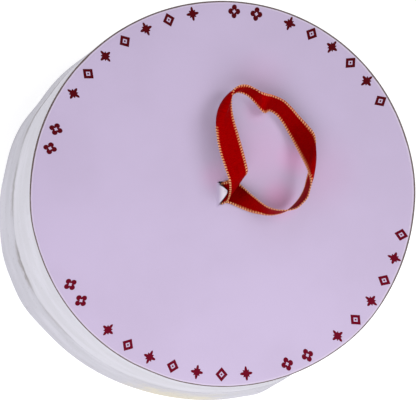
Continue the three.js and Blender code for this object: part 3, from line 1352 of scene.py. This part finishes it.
@dataclass
class SlotFlap:
    """The small pointed flap of card over the ribbon's ends, lifted and curled at its tip."""

    shape: BoxShape
    hinge_x: float = -4.3 * MM
    tip: tuple[float, float] = (2.6 * MM, 0.6 * MM)
    back: float = 6.2 * MM
    front: float = -9.0 * MM
    rise: float = 3.6 * MM
    clearance: float = 0.22 * MM
    hinge_sink: float = 0.1 * MM
    thickness: float = 0.4 * MM
    hinge_thickness: float = 0.12 * MM
    curl: float = 0.5 * MM
    arch: float = 0.25 * MM
    taper: float = 1.6
    tip_share: float = 0.985
    rows: int = 28
    columns: int = 28

    def surface(self) -> Surface:
        """Makes the flap.

        At share u of the way from the hinge to the tip it is a line between the two slanted sides,
        which narrow as 1 - u^taper. Its height is u of the rise, with a curl of u squared and an
        arch across. At the hinge it is thinner and grows out of the card.

        Returns:
            The closed flap: an upper and a lower sheet that meet at the edges.
        """
        out = np.linspace(0.0, self.tip_share, self.rows)[:, None]
        side = np.linspace(0.0, 1.0, self.columns)[None, :]
        middle = 0.5 * (self.back + self.front) * (1.0 - out) + self.tip[1] * out
        half = 0.5 * (self.back - self.front) * (1.0 - out ** self.taper)
        x = np.broadcast_to(self.hinge_x + out * (self.tip[0] - self.hinge_x), (self.rows, self.columns))
        y = middle + half * (2.0 * side - 1.0)
        freed = np.minimum(1.0, 4.0 * out)
        z = self.shape.top + self.clearance * freed - self.hinge_sink * (1.0 - freed)
        z = z + self.rise * out + self.curl * (out ** 2 - out)
        z = z + self.arch * (1.0 - (2.0 * side - 1.0) ** 2) * out
        lower = np.stack([x, y, z], axis=-1).reshape(-1, 3)
        thicker = (self.thickness - self.hinge_thickness) * np.minimum(1.0, 3.0 * out)
        upper = np.stack([x, y, z + self.hinge_thickness + thicker], axis=-1).reshape(-1, 3)
        plan = np.stack(np.broadcast_arrays(out, side), axis=-1).reshape(-1, 2)
        size = len(lower)
        grid = np.arange(size).reshape(self.rows, self.columns)
        corners = [grid[:-1, :-1], grid[1:, :-1], grid[1:, 1:], grid[:-1, 1:]]
        sheet = np.stack(corners, axis=-1).reshape(-1, 4)
        rim = np.concatenate([grid[:, 0], grid[-1, 1:], grid[-2::-1, -1], grid[0, -2:0:-1]])
        beside = np.roll(rim, -1)
        walls = np.stack([rim, beside, beside + size, rim + size], axis=-1)
        faces = [sheet[:, ::-1], sheet + size, walls]
        return Surface(np.concatenate([lower, upper]), faces, np.concatenate([plan, plan]))

    def build(self) -> None:
        """Makes the flap."""
        make_piece("slot_flap", self.surface(), FlapFinish().material(), "slot_tab")


# ---- The ribbon ----

# Straight lines across the ribbon from its first selvedge to its second, in millimetres from the
# middle of the lid's top, each with how far the slack band bulges off it. The ribbon bends along
# them and never stretches.
RIBBON_RULINGS = (
    ((-2.4, 5.8, -3.6), (-2.0, -7.0, -3.6), 0.0),  # first end, down in the slot
    ((-2.2, 5.8, -0.8), (-1.8, -7.0, -0.8), 0.0),
    ((2.3, 7.0, 2.8), (-0.2, -6.8, 1.6), 0.0),
    ((8.5, 8.5, 6.5), (1.0, -6.2, 2.4), 0.0),
    ((13.0, 11.5, 13.0), (2.5, -4.0, 6.2), -0.2),  # turns over at the root
    ((13.2, 13.6, 16.2), (2.0, 5.2, 15.8), 0.0),
    ((11.6, 21.5, 15.0), (-0.5, 13.6, 15.6), 0.3),
    ((8.2, 34.7, 13.0), (-3.4, 22.7, 14.6), 0.5),
    ((4.3, 48.7, 12.8), (-5.1, 30.2, 14.4), 1.0),
    ((3.4, 57.7, 14.2), (-5.8, 34.6, 14.6), 2.4),
    ((4.8, 63.0, 15.6), (-6.2, 37.7, 14.4), 4.0),  # rolls over the far left corner
    ((8.4, 65.9, 16.2), (-6.0, 40.5, 13.8), 4.4),
    ((12.0, 66.4, 16.0), (-4.5, 45.9, 12.6), 3.4),
    ((14.6, 65.8, 15.6), (-1.5, 52.9, 11.2), 2.2),
    ((16.6, 64.9, 15.2), (2.5, 58.8, 9.6), 1.2),
    ((18.5, 63.9, 14.8), (7.8, 62.0, 8.0), 0.6),
    ((19.7, 63.4, 14.4), (13.6, 60.5, 7.0), 0.3),
    ((21.2, 62.5, 14.2), (19.3, 55.5, 6.2), 0.2),
    ((22.9, 61.8, 15.0), (23.2, 50.8, 7.6), 0.0),  # a crease, and a flat facet that falls from it
    ((25.8, 61.1, 13.6), (25.6, 49.7, 5.4), 0.0),
    ((29.3, 60.4, 12.0), (28.6, 51.0, 2.4), 0.0),  # the facet ends, down on the lid
    ((36.0, 57.5, 12.6), (32.7, 48.6, 3.8), 0.2),
    ((41.1, 53.2, 11.8), (37.0, 43.2, 4.0), 0.3),
    ((46.9, 47.3, 9.6), (41.4, 35.3, 4.8), 0.2),
    ((51.9, 42.1, 9.4), (46.2, 25.1, 9.4), -0.4),
    ((55.7, 36.9, 10.8), (50.6, 13.8, 17.0), -1.2),
    ((56.3, 32.5, 11.8), (51.8, 6.5, 22.6), -2.1),  # turns over at the right
    ((54.9, 25.4, 12.2), (51.7, 3.9, 23.4), -2.2),
    ((52.9, 17.3, 11.8), (51.2, 1.6, 23.2), -1.8),
    ((50.9, 9.2, 10.8), (50.7, -0.8, 22.6), -0.8),  # stands on edge
    ((49.2, 1.8, 9.0), (50.0, -3.6, 21.6), 0.0),
    ((45.5, -5.0, 7.0), (47.4, -6.9, 20.4), 0.2),
    ((38.9, -11.3, 5.0), (43.2, -10.4, 19.2), 0.2),
    ((31.9, -13.7, 3.4), (36.6, -11.6, 17.6), 0.2),
    ((26.7, -13.9, 2.2), (27.3, -10.0, 14.6), 0.2),
    ((23.1, -13.3, 1.5), (17.5, -2.2, 8.0), 0.2),  # lies down again
    ((17.8, -12.3, 1.1), (9.8, 5.3, 2.4), 0.2),
    ((11.0, -9.8, 0.9), (4.7, 8.2, 1.2), 0.1),
    ((4.1, -6.9, 1.0), (1.6, 7.2, 1.0), 0.0),
    ((0.9, -6.3, 0.7), (1.0, 6.8, 0.7), 0.0),
    ((-0.3, -6.2, -0.7), (-0.2, 6.6, -0.7), 0.0),
    ((-0.4, -6.2, -3.6), (-0.3, 6.6, -3.6), 0.0),  # second end, down in the slot
)


def smooth_curve(knots: np.ndarray, steps: int) -> np.ndarray:
    """A centripetal Catmull-Rom curve.

    Each stretch between two knots is a cubic whose end slopes come from the neighbouring chords,
    each chord timed by the square root of its length. The ends are continued straight on.

    Args:
        knots: The points that it passes through.
        steps: The number of steps in each stretch.

    Returns:
        The curve's points, from the first knot to the last.
    """
    ends = np.vstack([2.0 * knots[0] - knots[1], knots, 2.0 * knots[-1] - knots[-2]])
    before, start, stop, after = ends[:-3], ends[1:-2], ends[2:-1], ends[3:]
    spans = np.sqrt(np.linalg.norm(np.diff(ends, axis=0), axis=1))
    t0, t1, t2 = (spans[i:len(spans) - 2 + i, None] for i in range(3))
    leave = ((start - before) / t0 - (stop - before) / (t0 + t1) + (stop - start) / t1) * t1
    reach = ((stop - start) / t1 - (after - start) / (t1 + t2) + (after - stop) / t2) * t1
    time = np.linspace(0.0, 1.0, steps, endpoint=False)[None, :, None]
    start, stop, leave, reach = (value[:, None, :] for value in (start, stop, leave, reach))
    square, cube = time ** 2, time ** 3
    curve = (start * (2.0 * cube - 3.0 * square + 1.0) + leave * (cube - 2.0 * square + time)
             + stop * (3.0 * square - 2.0 * cube) + reach * (cube - square))
    return np.vstack([curve.reshape(-1, 3), knots[-1]])


def unit(vectors: np.ndarray) -> np.ndarray:
    """Vectors of length 1 along the given ones."""
    return vectors / np.linalg.norm(vectors, axis=-1, keepdims=True)


def run_along(points: np.ndarray) -> np.ndarray:
    """The distance along a line of points, from 0 at the first."""
    return np.concatenate([[0.0], np.cumsum(np.linalg.norm(np.diff(points, axis=0), axis=1))])


@dataclass
class RibbonHandle:
    """The loop of ribbon: a woven band between two gold selvedges wound over wire."""

    shape: BoxShape
    steps: int = 14
    columns: int = 17
    width: float = 12.9 * MM
    length: float = 257.0 * MM
    thickness: float = 0.32 * MM
    crown: float = 0.30 * MM
    selvedge_radius: float = 0.50 * MM
    selvedge_flat: float = 0.75
    first_inset: float = 0.85 * MM
    second_inset: float = 0.3 * MM
    bead_pitch: float = 1.7 * MM
    bead_depth: float = 0.4
    bead_step: float = 0.175 * MM
    sides: int = 10
    first: np.ndarray = field(init=False)
    second: np.ndarray = field(init=False)
    normal: np.ndarray = field(init=False)
    bulge: np.ndarray = field(init=False)

    def __post_init__(self) -> None:
        """Works out the two selvedges' lines and the band's normal at each pair of their points."""
        raised = np.array([0.0, 0.0, self.shape.top])
        self.first = smooth_curve(np.array([row[0] for row in RIBBON_RULINGS]) * MM + raised, self.steps)
        self.second = smooth_curve(np.array([row[1] for row in RIBBON_RULINGS]) * MM + raised, self.steps)
        bulges = np.array([row[2] for row in RIBBON_RULINGS]) * MM
        self.bulge = np.interp(np.arange(len(self.first)) / self.steps, np.arange(len(bulges)), bulges)
        along = unit(np.gradient(self.first, axis=0)) + unit(np.gradient(self.second, axis=0))
        self.normal = unit(np.cross(self.first - self.second, along))

    def band(self) -> Surface:
        """Makes the woven band.

        The point at share v across is second + v (first - second), moved along the normal by half
        the thickness and by 4 v (1 - v) times the crown and the bulge. On the UV map u is v times
        the width, and the run along is the selvedges' runs blended by v.

        Returns:
            The closed band.
        """
        share = np.linspace(0.0, 1.0, self.columns)
        middle = (self.second[:, None, :] * (1.0 - share)[None, :, None]
                  + self.first[:, None, :] * share[None, :, None])
        arch = (self.crown + self.bulge)[:, None] * (4.0 * share * (1.0 - share))[None, :]
        normal = self.normal[:, None, :]
        upper = middle + normal * (arch + 0.5 * self.thickness)[..., None]
        lower = middle + normal * (arch - 0.5 * self.thickness)[..., None]
        loop = np.concatenate([upper, lower[:, ::-1]], axis=1)
        runs = (run_along(self.second)[:, None] * (1.0 - share)[None, :]
                + run_along(self.first)[:, None] * share[None, :])
        across = np.broadcast_to(share * self.width, runs.shape)
        plan = np.stack([across, runs], axis=-1)
        uv = np.concatenate([plan, plan[:, ::-1]], axis=1).reshape(-1, 2)
        rows, around = loop.shape[:2]
        column = np.arange(self.columns - 1)
        cap = np.stack([column, around - 1 - column, around - 2 - column, column + 1], axis=-1)
        far = (rows - 1) * around
        return Surface(loop.reshape(-1, 3), [quads(rows, around), cap, cap[:, ::-1] + far], uv)

    def selvedge(self, rail: np.ndarray, inwards: np.ndarray, inset: float) -> Surface:
        """Makes one selvedge.

        A flattened tube of radius r follows the rail, and swells with each turn of the winding, by
        1 + d cos(2 pi s / pitch) at run s.

        Args:
            rail: The band's edge.
            inwards: The direction across the band from there, at each point.
            inset: How far in from the edge the tube lies.

        Returns:
            The closed tube.
        """
        runs = run_along(rail)
        even = np.linspace(0.0, runs[-1], int(runs[-1] / self.bead_step))
        centre = np.stack([np.interp(even, runs, rail[:, i]) for i in range(3)], axis=-1)
        inward = unit(np.stack([np.interp(even, runs, inwards[:, i]) for i in range(3)], axis=-1))
        centre = centre + inward * inset
        ahead = unit(np.gradient(centre, axis=0))
        beside = unit(inward - ahead * np.sum(inward * ahead, axis=1, keepdims=True))
        normal = np.cross(ahead, beside)
        angle = np.linspace(0.0, 2.0 * math.pi, self.sides, endpoint=False)
        swell = 1.0 + self.bead_depth * np.cos(2.0 * math.pi * even[:, None] / self.bead_pitch)
        radius = (self.selvedge_radius * swell)[..., None]
        ring = (centre[:, None, :] + radius * np.cos(angle)[None, :, None] * beside[:, None, :]
                + self.selvedge_flat * radius * np.sin(angle)[None, :, None] * normal[:, None, :])
        uv = np.stack(np.broadcast_arrays(angle[None, :] / (2.0 * math.pi), even[:, None]), axis=-1)
        ends = np.stack([centre[0], centre[-1]])
        first_ring, count = np.arange(self.sides), len(even) * self.sides
        caps = [fan(first_ring[::-1], count), fan(count - self.sides + first_ring, count + 1)]
        points = np.concatenate([ring.reshape(-1, 3), ends])
        uv = np.concatenate([uv.reshape(-1, 2), [[0.0, 0.0], [0.0, even[-1]]]])
        return Surface(points, [quads(len(even), self.sides)] + caps, uv)

    def build(self) -> None:
        weave = RibbonFinish(self.width).material()
        band = make_piece("ribbon_band", self.band(), weave, "ribbon_handle")
        across = self.second - self.first
        rise = 4.0 * (self.crown + self.bulge)[:, None] * self.normal
        edges = joined([
            self.selvedge(self.first, unit(across + rise), self.first_inset),
            self.selvedge(self.second, unit(rise - across), self.second_inset),
        ])
        wires = make_piece("ribbon_selvedges", edges, SelvedgeFinish().material())


# ---- Studio ----

@dataclass(frozen=True)
class PhotoCamera:
    """The photograph's camera: its direction from the lid's middle, its distance and its framing.

    The pixel is where the lid's middle shows in the picture, counted from the upper left corner.
    """

    target: tuple[float, float, float]
    tilt: float = 8.25
    heading: float = 204.25
    distance: float = 4.0
    pixels_per_metre: float = 1608.0
    picture: tuple[float, float] = (416.0, 401.0)
    lid_pixel: tuple[float, float] = (223.2, 192.8)
    sensor: float = 36.0
    clip: tuple[float, float] = (0.1, 60.0)

    def build(self) -> None:
        """Makes the camera, turned so that the lid's middle falls on its pixel."""
        tilt, heading = math.radians(self.tilt), math.radians(self.heading)
        level = math.sin(tilt)
        back = Vector((level * math.cos(heading), level * math.sin(heading), math.cos(tilt)))
        middle = Vector(self.target)
        eye = middle + self.distance * back
        right_by = (self.lid_pixel[0] - 0.5 * self.picture[0]) / self.pixels_per_metre
        up_by = (0.5 * self.picture[1] - self.lid_pixel[1]) / self.pixels_per_metre
        right = (-back).cross(Vector((0.0, 1.0, 0.0))).normalized()
        up = right.cross(-back)
        ahead = (middle - right_by * right - up_by * up - eye).normalized()
        right = ahead.cross(Vector((0.0, 1.0, 0.0))).normalized()
        up = right.cross(ahead)
        data = bpy.data.cameras.new("photo_camera")
        data.sensor_width = self.sensor
        data.lens = self.pixels_per_metre * self.distance * self.sensor / self.picture[0]
        data.clip_start, data.clip_end = self.clip
        made = bpy.data.objects.new("photo_camera", data)
        bpy.context.scene.collection.objects.link(made)
        turn = Matrix((right, up, -ahead)).transposed().to_4x4()
        made.matrix_world = Matrix.Translation(eye) @ turn
        bpy.context.scene.camera = made


@dataclass(frozen=True)
class SoftLight:
    """A soft square light: its place, size and power. It looks at the box."""

    name: str
    place: tuple[float, float, float]
    size: float
    watts: float

    def build(self, target: Vector) -> None:
        """Makes the light.

        Args:
            target: The point that it looks at.
        """
        data = bpy.data.lights.new(self.name, "AREA")
        data.size = self.size
        data.energy = self.watts
        made = bpy.data.objects.new(self.name, data)
        made.location = self.place
        made.rotation_mode = "QUATERNION"
        made.rotation_quaternion = (target - Vector(self.place)).to_track_quat("-Z", "Y")
        made.visible_camera = False
        bpy.context.scene.collection.objects.link(made)


@dataclass
class Studio:
    """A plain pale floor, soft lights, and the photograph's camera."""

    shape: BoxShape
    floor_half: float = 6.0
    floor_gap: float = 0.2 * MM
    ambience: float = 0.5
    floor_glow: float = 0.64
    floor_grey: float = 0.6
    floor_roughness: Span = (0.7, 0.8)
    floor_blotches: float = 3.0
    lights: tuple[SoftLight, ...] = (
        SoftLight("key", (1.5, 0.6, 2.2), 1.2, 21.0),
        SoftLight("left_fill", (-1.5, -0.5, 0.9), 1.2, 5.0),
        SoftLight("front_fill", (0.0, -0.32, 0.6), 0.5, 1.35),
    )

    def floor(self) -> None:
        """Makes the floor, a white sweep lit a little from behind, with an uneven gloss."""
        graph = Graph("pale_floor")
        blotch = graph.noise(graph.place(), self.floor_blotches)
        rough = graph.between(self.floor_roughness, blotch)
        graph.shader.inputs["Emission Color"].default_value = (1.0, 1.0, 1.0, 1.0)
        graph.shader.inputs["Emission Strength"].default_value = self.floor_glow
        grey = (self.floor_grey, self.floor_grey, self.floor_grey, 1.0)
        material = graph.finish(Base_Color=grey, Roughness=rough)
        half, low = self.floor_half, -self.floor_gap
        mesh = bpy.data.meshes.new("floor")
        mesh.from_pydata([(-half, -half, low), (half, -half, low), (half, half, low), (-half, half, low)],
                         [], [(0, 1, 2, 3)])
        mesh.materials.append(material)
        made = bpy.data.objects.new("floor", mesh)
        bpy.context.scene.collection.objects.link(made)

    def build(self) -> None:
        """Makes the camera, the floor, the lights and the world, and sets plain colour handling."""
        PhotoCamera((0.0, 0.0, self.shape.top)).build()
        self.floor()
        for light in self.lights:
            light.build(Vector((0.0, 0.0, 0.5 * self.shape.top)))
        world = bpy.data.worlds.new("soft_studio")
        world.use_nodes = True
        background = world.node_tree.nodes["Background"]
        background.inputs["Color"].default_value = (1.0, 1.0, 1.0, 1.0)
        background.inputs["Strength"].default_value = self.ambience
        scene = bpy.context.scene
        scene.world = world
        scene.view_settings.view_transform = "Standard"
        scene.view_settings.look = "None"


def main() -> None:
    """Builds the box from the camera up."""
    logging.basicConfig(level=logging.INFO, format="%(name)s: %(message)s")
    shape = BoxShape.from_frame()
    Studio(shape).build()
    ribbon = RibbonHandle(shape)
    top = PrintedTop(shape)
    for assembly in (Drum(shape), LidWall(shape), top, PrintedBorder(top), SlotFlap(shape), ribbon):
        assembly.build()
        LOG.info("built %s", type(assembly).__name__)


if __name__ == "__main__":
    main()
